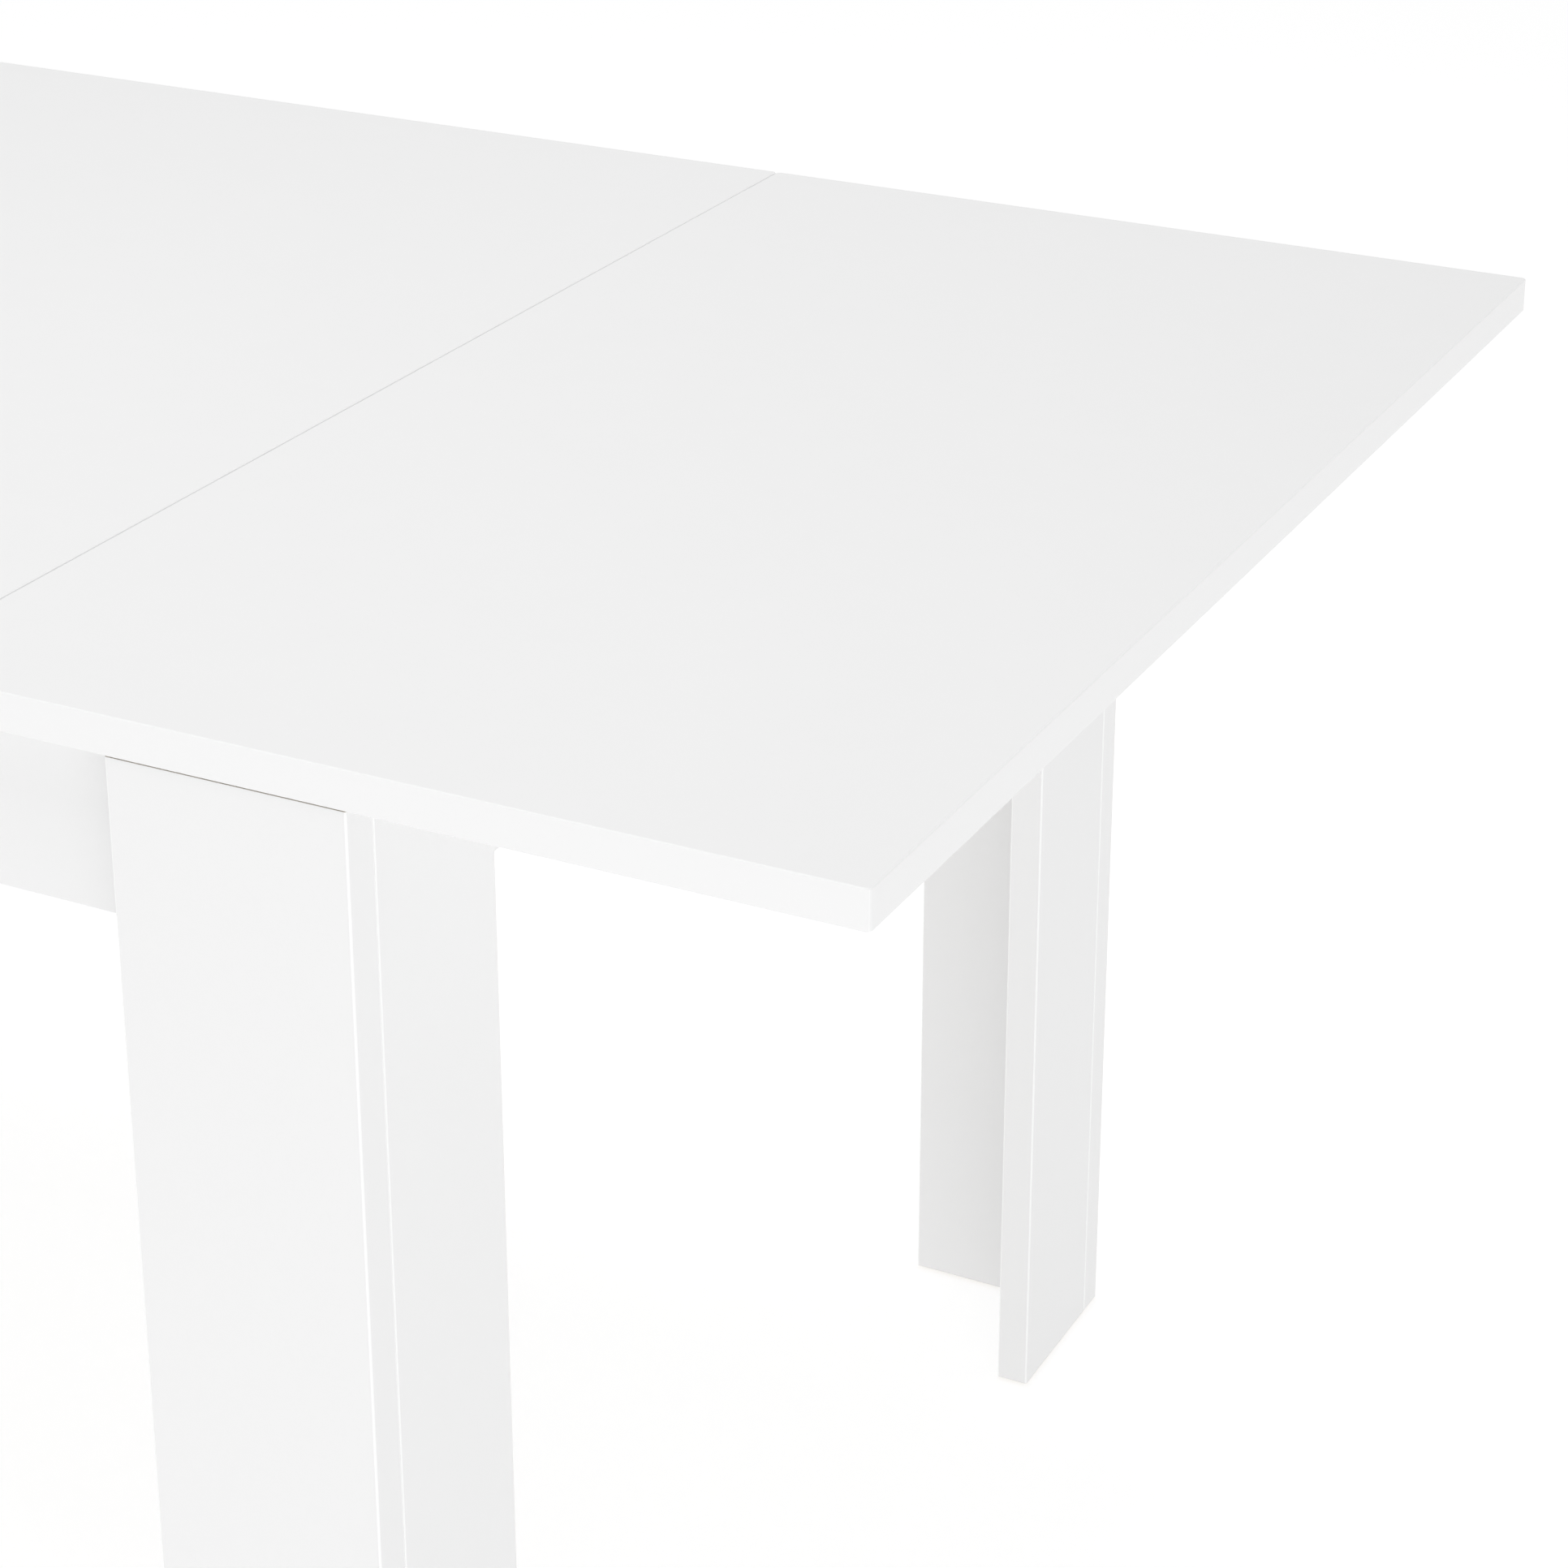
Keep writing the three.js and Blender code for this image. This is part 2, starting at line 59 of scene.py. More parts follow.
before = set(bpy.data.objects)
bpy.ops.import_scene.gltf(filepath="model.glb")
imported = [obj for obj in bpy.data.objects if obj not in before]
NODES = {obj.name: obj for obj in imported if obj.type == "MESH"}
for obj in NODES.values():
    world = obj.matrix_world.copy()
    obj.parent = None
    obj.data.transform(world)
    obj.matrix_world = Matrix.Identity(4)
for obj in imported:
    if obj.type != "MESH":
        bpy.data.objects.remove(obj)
CAD_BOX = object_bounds()
MM = 0.001
ENDS = ("left", "right")
SIDES = ("front", "rear")
CORNERS = [(end, side) for end in ENDS for side in SIDES]
HINGES = ("front", "middle", "rear")
END_SIGN = {"left": -1.0, "right": 1.0}
SIDE_SIGN = {"front": -1.0, "rear": 1.0}

BOARD_EASE = 0.3 * MM
PANEL_EASE = 0.2 * MM
WELD_REACH = 0.01 * MM
BOLT_HEAD_HEIGHT = 3.5 * MM
BOLT_SHANK_RADIUS = 3.0 * MM
BOLT_POINT_LENGTH = 0.6 * MM
BOLT_TURN = 0.3
SOCKET_HALF_WIDTH = 2.0 * MM
CAM_PROUD = 0.5 * MM
CAM_INSET = 34 * MM
CAM_HEIGHT_SHARES = (0.12, 0.45, 0.78)
APRON_CAM_INSET = 84 * MM
HINGE_SCREW_SHARE = 0.66
HINGE_SCREW_FLATNESS = 0.1
RUNNER_SCREW_MARGIN = 60 * MM
BATTEN_SCREW_MARGIN = 50 * MM
GUIDE_SCREW_MARGIN = 45 * MM
GUIDE_WALL = 2.5 * MM
FLAT_SCREW_SHARE = 0.8
FLAT_SCREW_HEIGHT = 0.9 * MM
BLOCK_NOSE = 10.5 * MM
BLOCK_SCREW_SHARES = (0.28, 0.72)
FLOOR_REACH = 30.0
FLOOR_CELLS = 8

# Each soft light: the setting that holds its power, where it stands, what it points at, its width and height.
LIGHTS = {
    "overhead_light": ("overhead_power", (0.0, -0.3, 3.4), (0.0, 0.0, 0.78), (3.0, 3.0)),
    "corner_light": ("corner_power", (3.6, -3.6, 1.2), (0.6, -0.4, 0.5), (3.2, 1.8)),
    "front_light": ("front_power", (-0.8, -4.2, 1.8), (0.2, 0.0, 0.5), (2.4, 2.4)),
    "side_light": ("side_power", (4.6, 0.4, 1.2), (0.6, 0.0, 0.5), (1.8, 1.8)),
}


# ---------------------------------------------------------------- sizes and colours that a user may change

class BoardFinish(bpy.types.PropertyGroup):
    """The melamine-faced boards."""

    face_colour: FloatVectorProperty(name="Face colour", description="Melamine face", subtype="COLOR",
                                     size=3, min=0, max=1, default=(0.872, 0.872, 0.872))
    top_band_colour: FloatVectorProperty(name="Top's edge band", description="Plastic band round the top",
                                         subtype="COLOR", size=3, min=0, max=1,
                                         default=(0.895, 0.895, 0.895))
    board_band_colour: FloatVectorProperty(name="Boards' edge band", description="Band on the other boards",
                                           subtype="COLOR", size=3, min=0, max=1,
                                           default=(0.866, 0.866, 0.866))
    roughness: FloatProperty(name="Roughness", description="Gloss of the melamine", subtype="FACTOR",
                             min=0, max=1, default=0.43)
    band_thickness: FloatProperty(name="Edge band thickness", description="Thickness of the edge bands",
                                  unit="LENGTH", min=0.0004, max=0.003, default=0.001)
    # The paler colour on the edge bands' rounded corners is a painted highlight, standing in for light that
    # the rounded edges catch.
    painted_highlight_colour: FloatVectorProperty(name="Painted highlight", description="Painted highlight on the bands' rounded corners",
                                        subtype="COLOR", size=3, min=0, max=1, default=(0.97, 0.97, 0.97))
    painted_highlight_width: FloatProperty(name="Highlight width", description="How far the painted highlight runs in",
                                 unit="LENGTH", min=0, max=0.004, default=0.0011)
    grain_depth: FloatProperty(name="Texture depth", description="Height of the pearl texture", unit="LENGTH",
                               min=0, max=0.0005, default=0.00003)


class FittingSizes(bpy.types.PropertyGroup):
    """Screws, cams and bolts."""

    screw_head: FloatProperty(name="Screw head", description="Diameter of a pan head", unit="LENGTH",
                              min=0.003, max=0.012, default=0.0078)
    screw_height: FloatProperty(name="Screw head height", description="Height of a pan head", unit="LENGTH",
                                min=0.0005, max=0.006, default=0.0024)
    hinge_screw_head: FloatProperty(name="Hinge screw head", description="Diameter of a hinge screw's head",
                                    unit="LENGTH", min=0.002, max=0.01, default=0.0052)
    cam_diameter: FloatProperty(name="Cam diameter", description="Diameter of a cam fitting", unit="LENGTH",
                                min=0.008, max=0.02, default=0.015)
    runner_screws: IntProperty(name="Screws in a runner", description="Screws up through each runner",
                               min=2, max=12, default=6)
    guide_screws: IntProperty(name="Screws in a channel", description="Screws through each channel's back",
                              min=2, max=12, default=6)
    batten_screws: IntProperty(name="Screws in a batten", description="Screws up through each batten",
                               min=2, max=10, default=4)


class Studio(bpy.types.PropertyGroup):
    """Floor, lights and camera."""

    floor_colour: FloatVectorProperty(name="Floor colour", description="Matt floor", subtype="COLOR",
                                      size=3, min=0, max=1, default=(0.53, 0.53, 0.53))
    floor_glow: FloatProperty(name="Floor glow", description="Light that the floor gives off",
                              min=0, max=2, default=0.612)
    sky: FloatProperty(name="Soft light", description="Even light from all round", min=0, max=3, default=0.66)
    overhead_power: FloatProperty(name="Overhead light", description="Power of the light above the table",
                                  unit="POWER", min=0, max=1000, default=36.0)
    corner_power: FloatProperty(name="Corner light", description="Power of the light that edges catch",
                                unit="POWER", min=0, max=1000, default=27.0)
    front_power: FloatProperty(name="Front light", description="Power of the light left of the camera",
                               unit="POWER", min=0, max=1000, default=7.5)
    side_power: FloatProperty(name="Side light", description="Power of the light off the leaf's end",
                              unit="POWER", min=0, max=1000, default=2.0)
    camera_place: FloatVectorProperty(name="Camera place", description="Where the camera stands",
                                      unit="LENGTH", size=3, default=(1.541, -1.692, 1.4755))
    camera_turn: FloatProperty(name="Camera turn", description="Heading, left of the table's depth",
                               unit="ROTATION", default=math.radians(26.89))
    camera_tilt: FloatProperty(name="Camera tilt", description="How far the camera looks down",
                               unit="ROTATION", default=math.radians(21.75))
    lens: FloatProperty(name="Lens", description="Focal length in mm", min=10, max=300, default=88.07)
    drop: FloatProperty(name="Lens shift", description="Upright shift of the picture", default=-0.15)


# ---------------------------------------------------------------- shader expressions

class Wire:
    """A socket that can be used in sums: an expression on values adds its Math nodes."""

    def __init__(self, finish, socket):
        self.finish = finish
        self.socket = socket

    def math(self, operation, *others):
        values = dict(enumerate((self, *others)))
        return self.finish.node("ShaderNodeMath", {"operation": operation}, values)

    def __add__(self, other):
        return self.math("ADD", other)

    def __sub__(self, other):
        return self.math("SUBTRACT", other)

    def __rsub__(self, other):
        return (self * -1) + other

    def __mul__(self, other):
        return self.math("MULTIPLY", other)

    def __abs__(self):
        return self.math("ABSOLUTE")

    def lowest(self, other):
        return self.math("MINIMUM", other)

    def highest(self, other):
        return self.math("MAXIMUM", other)

    def ramp(self, low, high, at_low=0.0, at_high=1.0):
        """A smooth step from one value to another between two inputs."""
        settings = {"interpolation_type": "SMOOTHSTEP"}
        inputs = {0: self, 1: low, 2: high, 3: at_low, 4: at_high}
        return self.finish.node("ShaderNodeMapRange", settings, inputs)


class Finish:
    """One procedural material on Object coordinates, which are the table's own metres."""

    def __init__(self, name):
        self.material = bpy.data.materials.new(name)
        self.material.use_nodes = True
        self.tree = self.material.node_tree
        self.tree.nodes.clear()
        self.shader = self.tree.nodes.new("ShaderNodeBsdfPrincipled")
        output = self.tree.nodes.new("ShaderNodeOutputMaterial")
        self.tree.links.new(self.shader.outputs[0], output.inputs[0])
        self.place = self.node("ShaderNodeTexCoord", {}, {}, "Object")

    def feed(self, node, inputs):
        """Links each of a node's sockets to a wire, or sets it to a constant."""
        for key, value in inputs.items():
            if isinstance(value, Wire):
                self.tree.links.new(value.socket, node.inputs[key])
            else:
                node.inputs[key].default_value = value

    def node(self, kind, settings, inputs, output=0):
        """Adds a node: its settings first, then its sockets' values or links."""
        made = self.tree.nodes.new(kind)
        for key, value in settings.items():
            setattr(made, key, value)
        self.feed(made, inputs)
        return Wire(self, made.outputs[output])

    def axes(self):
        split = self.tree.nodes.new("ShaderNodeSeparateXYZ")
        self.tree.links.new(self.place.socket, split.inputs[0])
        return [Wire(self, socket) for socket in split.outputs]

    def stretched(self, scale):
        return self.node("ShaderNodeMapping", {}, {"Vector": self.place, "Scale": scale})

    def noise(self, scale, detail=3.0, roughness=0.5, vector=None, distortion=0.0):
        inputs = {"Vector": vector or self.place, "Scale": scale, "Detail": detail, "Roughness": roughness,
                  "Distortion": distortion}
        return self.node("ShaderNodeTexNoise", {}, inputs)

    def cells(self, scale, vector=None, output="Distance"):
        return self.node("ShaderNodeTexVoronoi", {}, {"Vector": vector or self.place, "Scale": scale}, output)

    def blend(self, factor, first, second):
        """Mixes two colours, each a wire or three numbers. Inputs 6 and 7 and output 2 carry colours."""
        first, second = (c if isinstance(c, Wire) else (*tuple(c)[:3], 1.0) for c in (first, second))
        return self.node("ShaderNodeMix", {"data_type": "RGBA"}, {0: factor, 6: first, 7: second}, 2)

    def bump(self, height, distance):
        return self.node("ShaderNodeBump", {}, {"Height": height, "Distance": distance, "Strength": 1.0})

    def shine(self, **values):
        """Sets or links the shader's sockets: Base_Color=..., Roughness=..., Normal=..."""
        self.feed(self.shader, {key.replace("_", " "): value for key, value in values.items()})
        return self.material


def melamine(name, low, high, length_axis, band_colour):
    """Melamine-faced chipboard: a fine pearl texture, plastic bands on the edges along the board, a joint
    line between band and face, a painted highlight (a paler colour) on the bands' rounded corners, and bare
    particle core where the end is left raw.

    inset is the depth below each pair of faces. A board with no length_axis is banded on all four edges."""
    look = bpy.context.scene.table_boards
    finish = Finish(name)
    x, y, z = finish.axes()
    centre = (low + high) / 2
    half = (high - low) / 2
    inset = [abs(wire - centre[axis]) * -1 + half[axis] for axis, wire in enumerate((x, y, z))]
    thin = min(range(3), key=lambda axis: half[axis])
    flat = [axis for axis in range(3) if axis != thin]
    if length_axis is None:
        edge = inset[flat[0]].lowest(inset[flat[1]])
    else:
        edge = inset[next(axis for axis in flat if axis != length_axis)]
    band = look.band_thickness
    banded = edge.ramp(band - 0.05 * MM, band + 0.05 * MM, 1.0, 0.0)
    joint = abs(edge - band).ramp(0.03 * MM, 0.14 * MM, 1.0, 0.0)
    cloud = finish.noise(2.2, 2.0)
    mottle = finish.noise(38.0, 4.0, 0.6)
    face = finish.blend(cloud * 0.6 + mottle * 0.4, [c * 0.988 for c in look.face_colour],
                        [min(c * 1.012, 1) for c in look.face_colour])
    colour = finish.blend(banded, face, band_colour)
    colour = finish.blend(joint * 0.05, colour, (0.6, 0.6, 0.6))
    # Painted highlight: the rounded corners of the bands get a paler colour and a little less roughness, in
    # place of light caught by the rounded edges.
    around = [axis for axis in range(3) if axis != (2 if length_axis is None else length_axis)]
    corner = inset[around[0]].highest(inset[around[1]])
    painted_highlight = corner.ramp(look.painted_highlight_width * 0.75, look.painted_highlight_width, 1.0, 0.0)
    colour = finish.blend(painted_highlight, colour, look.painted_highlight_colour)
    pearl = finish.cells(900.0) * 0.5 + finish.noise(1500.0, 2.0) * 0.5
    ripple = finish.noise(260.0, 2.0)
    surface = pearl * (1 - banded * 0.75) + ripple * banded * 0.5 - joint
    rough = mottle * 0.05 + (look.roughness - 0.025) - banded * 0.05 - painted_highlight * 0.06
    if length_axis is not None:
        raw = inset[length_axis].ramp(0.05 * MM, 0.12 * MM, 1.0, 0.0)
        flake = finish.cells(520.0, finish.stretched((1.0, 0.6, 1.0)), "Color")
        tone = finish.node("ShaderNodeSeparateColor", {}, {0: flake})
        core = finish.blend(tone, (0.54, 0.50, 0.43), (0.75, 0.71, 0.64))
        colour = finish.blend(raw, colour, core)
        surface = surface + tone * raw * 6.0
        rough = rough + raw * 0.45
    normal = finish.bump(surface, look.grain_depth)
    return finish.shine(Base_Color=colour, Roughness=rough, Normal=normal, IOR=1.5, Coat_Weight=0.06,
                        Coat_Roughness=0.3)


def planed_wood(name, along):
    """Planed pine: narrow growth rings carried along one axis and bent by slow noise, under fine fibre."""
    finish = Finish(name)
    slow = [14.0, 14.0, 14.0]
    slow[along] = 1.1
    fine = [1400.0, 1400.0, 1400.0]
    fine[along] = 22.0
    bend = finish.noise(1.0, 3.0, 0.5, finish.stretched(slow))
    rings = finish.node("ShaderNodeTexWave", {"wave_type": "RINGS", "rings_direction": "XYZ"[along]},
                        {"Vector": finish.stretched(slow), "Scale": 13.0, "Distortion": 9.0, "Detail": 3.0,
                         "Detail Scale": 0.6}, "Fac")
    fibre = finish.noise(1.0, 3.0, 0.6, finish.stretched(fine))
    late = (rings * 0.65 + bend * 0.35).ramp(0.45, 0.95)
    colour = finish.blend(late * 0.7, (0.72, 0.61, 0.46), (0.58, 0.45, 0.31))
    colour = finish.blend(fibre * 0.45, colour, (0.80, 0.71, 0.57))
    normal = finish.bump(fibre * 0.8 + late * 0.2, 0.00005)
    return finish.shine(Base_Color=colour, Roughness=fibre * 0.16 + 0.55, Normal=normal)


def moulded_plastic(name, colour, roughness):
    """Moulded nylon: a spark-eroded matt skin with slight flow marks."""
    finish = Finish(name)
    flow = finish.noise(60.0, 2.0)
    skin = finish.noise(2600.0, 3.0, 0.6)
    shade = finish.blend(flow, [c * 0.94 for c in colour], [min(c * 1.05, 1.0) for c in colour])
    normal = finish.bump(skin, 0.00003)
    return finish.shine(Base_Color=shade, Roughness=flow * 0.1 + roughness, Normal=normal, IOR=1.53)


def extruded_aluminium(name):
    """Mill-finished aluminium: die lines drawn along the channel."""
    finish = Finish(name)
    lines = finish.noise(1.0, 2.0, 0.55, finish.stretched((3.0, 2200.0, 2200.0)))
    bloom = finish.noise(9.0, 3.0)
    colour = finish.blend(bloom, (0.70, 0.71, 0.73), (0.80, 0.81, 0.82))
    rough = lines * 0.14 + bloom * 0.08 + 0.24
    return finish.shine(Base_Color=colour, Roughness=rough, Metallic=1.0, Normal=finish.bump(lines, 0.00004))


def zinc_plate(name):
    """Bright zinc plate: a cool sheen with a faint yellow cast, and fine tumbling marks."""
    finish = Finish(name)
    cast = finish.noise(120.0, 3.0)
    marks = finish.noise(1800.0, 4.0, 0.7, distortion=1.5)
    colour = finish.blend(cast, (0.60, 0.62, 0.65), (0.70, 0.68, 0.62))
    rough = marks * 0.16 + 0.22
    return finish.shine(Base_Color=colour, Roughness=rough, Metallic=1.0, Normal=finish.bump(marks, 0.00003))


def studio_floor(name):
    """A pale matt floor that gives off some light of its own, so that shadows stay faint."""
    look = bpy.context.scene.table_studio
    finish = Finish(name)
    cloud = finish.noise(1.3, 2.0)
    colour = finish.blend(cloud, [c * 0.99 for c in look.floor_colour], look.floor_colour)
    return finish.shine(Base_Color=colour, Roughness=0.9, Specular_IOR_Level=0.1,
                        Emission_Color=(1.0, 1.0, 1.0, 1.0), Emission_Strength=look.floor_glow)


# ---------------------------------------------------------------- dressing the frame's own nodes

def dress(node, material, ease=BOARD_EASE):
    """Gives a node its finish, and eases its sharp edges a little so that they catch light."""
    piece = NODES[node]
    piece.data.materials.clear()
    piece.data.materials.append(material)
    piece.data.polygons.foreach_set("use_smooth", np.ones(len(piece.data.polygons), bool))
    weld = piece.modifiers.new("weld", "WELD")
    weld.merge_threshold = WELD_REACH
    bevel = piece.modifiers.new("ease", "BEVEL")
    bevel.width = ease
    bevel.segments = 2
    bevel.limit_method = "ANGLE"
    bevel.angle_limit = math.radians(40)
    bevel.use_clamp_overlap = True
    normals = piece.modifiers.new("normals", "WEIGHTED_NORMAL")
    normals.weight = 100
    normals.keep_sharp = False


def dress_board(node, length_axis, band_colour, ease=BOARD_EASE):
    """Gives a board its melamine, laid out on the board's own box."""
    dress(node, melamine(f"{node}_melamine", *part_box(node), length_axis, band_colour), ease)


# ---------------------------------------------------------------- surfaces

def face_at(box, axis, sign):
    """Where a box's face lies along an axis: the high face for a plus sign, the low face for a minus."""
    low, high = box
    return high[axis] if sign > 0 else low[axis]


def shell(rings, poles):
    """Points and faces of a closed surface: rings whose columns wrap, and a fan to a pole at each end."""
    count, columns = rings.shape[:2]
    column = np.arange(columns)
    following = (column + 1) % columns
    ring = np.arange(count - 1)[:, None] * columns
    above = ring + columns
    quads = np.stack([ring + column, ring + following, above + following, above + column], -1).reshape(-1, 4)
    first_pole = count * columns
    last_ring = first_pole - columns
    first_fan = np.stack([np.full(columns, first_pole), following, column], -1)
    last_fan = np.stack([np.full(columns, first_pole + 1), last_ring + column, last_ring + following], -1)
    points = np.vstack([rings.reshape(-1, 3), np.array(poles, float)])
    return points, quads.tolist() + first_fan.tolist() + last_fan.tolist()


def make_piece(name, points, faces, material, body):
    """Puts a surface into a mesh object at the origin, and lets it ride on its body."""
    mesh = bpy.data.meshes.new(name)
    mesh.from_pydata(points.tolist(), [], faces)
    mesh.polygons.foreach_set("use_smooth", np.ones(len(mesh.polygons), bool))
    mesh.materials.append(material)
    mesh.update()
    piece = bpy.data.objects.new(name, mesh)
    bpy.context.scene.collection.objects.link(piece)
    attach(piece, body)
    return piece


def spread(points, faces, places, towards, turns):
    """Copies one shape, made about +Z, to many places: each copy's +Z is turned to its direction, after
    a turn about its own axis. Copies are one array product, not a loop over points."""
    towards = np.asarray(towards, float)
    towards = towards / np.linalg.norm(towards, axis=1, keepdims=True)
    helper = np.where(np.abs(towards[:, 2:3]) > 0.9, [[1.0, 0.0, 0.0]], [[0.0, 0.0, 1.0]])
    first = np.cross(helper, towards)
    first /= np.linalg.norm(first, axis=1, keepdims=True)
    second = np.cross(towards, first)
    turns = np.asarray(turns, float)[:, None]
    right = first * np.cos(turns) + second * np.sin(turns)
    up = np.cross(towards, right)
    basis = np.stack([right, up, towards], 1)
    moved = np.einsum("pk,nkd->npd", points, basis) + np.asarray(places, float)[:, None, :]
    count = len(points)
    copies = [[index + copy * count for index in face] for copy in range(len(places)) for face in faces]
    return moved.reshape(-1, 3), copies


def pan_head(diameter, height, columns=36):
    """A pan head with a cross recess, seated on z = 0.

    The outline is a superellipse: z = height * (1 - (r / R) ** 3) ** (1 / 3). The recess is taken out of it
    where the smaller of |x| and |y| is under the blade's half width and r is under the blade's reach."""
    radius = diameter / 2
    share = np.concatenate([[1.0, 1.0], np.linspace(0.97, 0.08, 13)])
    angle = np.linspace(0, 2 * np.pi, columns, endpoint=False)
    r = radius * share[:, None] * np.ones(columns)
    x, y = r * np.cos(angle), r * np.sin(angle)
    z = height * (1 - share[:, None] ** 3) ** (1 / 3) * np.ones(columns)
    z[0] = -height * 0.1
    blade, reach, depth = radius * 0.17, radius * 0.58, height * 0.62
    narrow = np.clip((blade - np.minimum(abs(x), abs(y))) / (blade * 0.35), 0, 1)
    inside = np.clip((reach - r) / (reach * 0.3), 0, 1)
    z = z - depth * narrow * inside
    rings = np.stack([x, y, z], -1)
    return shell(rings, [(0, 0, -height * 0.1), (0, 0, height - depth)])


def cam_disc(diameter, proud, columns=48):
    """A cam fitting's face: a flat disc with a rounded rim, a raised ring and a cross slot.

    The height is proud, less a rim of rounding, less a groove at 0.8 of the radius, less the slot where the
    smaller of |x| and |y| is under its half width."""
    radius = diameter / 2
    share = np.concatenate([[1.0, 1.0, 0.985, 0.95], np.linspace(0.9, 0.06, 18)])
    angle = np.linspace(0, 2 * np.pi, columns, endpoint=False)
    r = radius * share[:, None] * np.ones(columns)
    x, y = r * np.cos(angle), r * np.sin(angle)
    rim = np.clip((1 - share[:, None]) / 0.05, 0, 1) ** 0.5
    groove = np.exp(-((share[:, None] - 0.8) / 0.035) ** 2) * proud * 0.5
    z = proud * rim * np.ones(columns) - groove
    z[0] = -proud
    blade, reach = radius * 0.11, radius * 0.6
    narrow = np.clip((blade - np.minimum(abs(x), abs(y))) / (blade * 0.4), 0, 1)
    z = z - proud * 1.2 * narrow * np.clip((reach - r) / (reach * 0.15), 0, 1)
    rings = np.stack([x, y, z], -1)
    return shell(rings, [(0, 0, -proud), (0, 0, -proud * 0.2)])


def socket_bolt(head_radius, length, columns=60):
    """A domed bolt head with a hexagon socket, on a plain shank, with the head seated on z = 0.

    Each ring is a circle, but the socket's rings are a hexagon: r = flat / cos(angle to the nearest flat)."""
    angle = np.linspace(0, 2 * np.pi, columns, endpoint=False)
    sixth = np.pi / 3
    hexagon = SOCKET_HALF_WIDTH / np.cos((angle + sixth / 2) % sixth - sixth / 2)
    head = BOLT_HEAD_HEIGHT
    tip = head - length
    bend = np.linspace(0, np.pi / 2, 8)[1:]
    side_draw, crown_draw = 0.18, 0.25
    dome = head_radius * (1 - side_draw * (1 - np.cos(bend)) - crown_draw * np.sin(bend) ** 2)
    profile = [(BOLT_SHANK_RADIUS, tip + BOLT_POINT_LENGTH), (BOLT_SHANK_RADIUS, 0.0), (head_radius, 0.0),
               *zip(dome, head * np.sin(bend))]
    # The socket's countersink, its mouth, the foot of its walls and the cone left by the drill.
    socket = ((1.12, head), (1.0, head - 0.2 * MM), (0.97, head - 2.0 * MM), (0.4, head - 2.3 * MM))
    outlines = [(radius * np.ones(columns), z) for radius, z in profile]
    outlines += [(scale * hexagon, z) for scale, z in socket]
    rings = [np.stack([r * np.cos(angle), r * np.sin(angle), np.full(columns, z)], -1) for r, z in outlines]
    return shell(np.array(rings), [(0, 0, tip), (0, 0, head - 2.4 * MM)])


# ---------------------------------------------------------------- operators

class TableOperator(bpy.types.Operator):
    """What the table's operators share"""

    bl_options = {"REGISTER", "UNDO"}


class TABLE_OT_top_panels(TableOperator):
    """Finish the main top and the leaf"""

    bl_idname = "table.top_panels"
    bl_label = "Top panels"

    def execute(self, context):
        look = context.scene.table_boards
        for node in ("main_top", "leaf_top"):
            dress_board(node, None, look.top_band_colour, PANEL_EASE)
        return {"FINISHED"}


class TABLE_OT_legs(TableOperator):
    """Finish the eight leg boards"""

    bl_idname = "table.legs"
    bl_label = "Leg boards"

    def execute(self, context):
        look = context.scene.table_boards
        for end, side in CORNERS:
            for board in ("side", "end"):
                node = f"leg_{board}_board_{end}_{side}"
                dress_board(node, 2, look.board_band_colour)
        return {"FINISHED"}


class TABLE_OT_frame_boards(TableOperator):
    """Finish the aprons and the cross rails"""

    bl_idname = "table.frame_boards"
    bl_label = "Aprons and cross rails"

    def execute(self, context):
        lying = {"apron_front": 0, "apron_rear": 0, "apron_left": 1, "apron_right": 1,
                 "cross_rail_left": 1, "cross_rail_right": 1}
        look = context.scene.table_boards
        for node, along in lying.items():
            dress_board(node, along, look.board_band_colour)
        return {"FINISHED"}


class TABLE_OT_wood(TableOperator):
    """Finish the runners, battens and corner blocks in planed pine"""

    bl_idname = "table.wood"
    bl_label = "Wooden parts"

    def execute(self, context):
        along_x = planed_wood("pine_along_x", 0)
        along_y = planed_wood("pine_along_y", 1)
        upright = planed_wood("pine_upright", 2)
        for side in SIDES:
            dress(f"runner_{side}", along_x, 0.8 * MM)
        for end in ENDS:
            dress(f"top_batten_{end}", along_y, 0.8 * MM)
        for end, side in CORNERS:
            dress(f"corner_block_{end}_{side}", upright, 0.6 * MM)
        return {"FINISHED"}


class TABLE_OT_slide(TableOperator):
    """Finish the channels, tongues, stops and slide buttons"""

    bl_idname = "table.slide"
    bl_label = "Slide"

    def execute(self, context):
        channel = extruded_aluminium("channel_aluminium")
        nylon = moulded_plastic("white_nylon", (0.80, 0.80, 0.775), 0.38)
        black = moulded_plastic("black_nylon", (0.022, 0.022, 0.024), 0.42)
        for side in SIDES:
            dress(f"guide_{side}", channel, 0.2 * MM)
            dress(f"runner_tongue_{side}", nylon, 0.4 * MM)
        for end, side in CORNERS:
            dress(f"guide_stop_{end}_{side}", black, 0.4 * MM)
            dress(f"slide_button_{end}_{side}", nylon, 0.2 * MM)
            for board in ("side", "end"):
                dress(f"glide_{board}_board_{end}_{side}", nylon, 0.3 * MM)
        return {"FINISHED"}


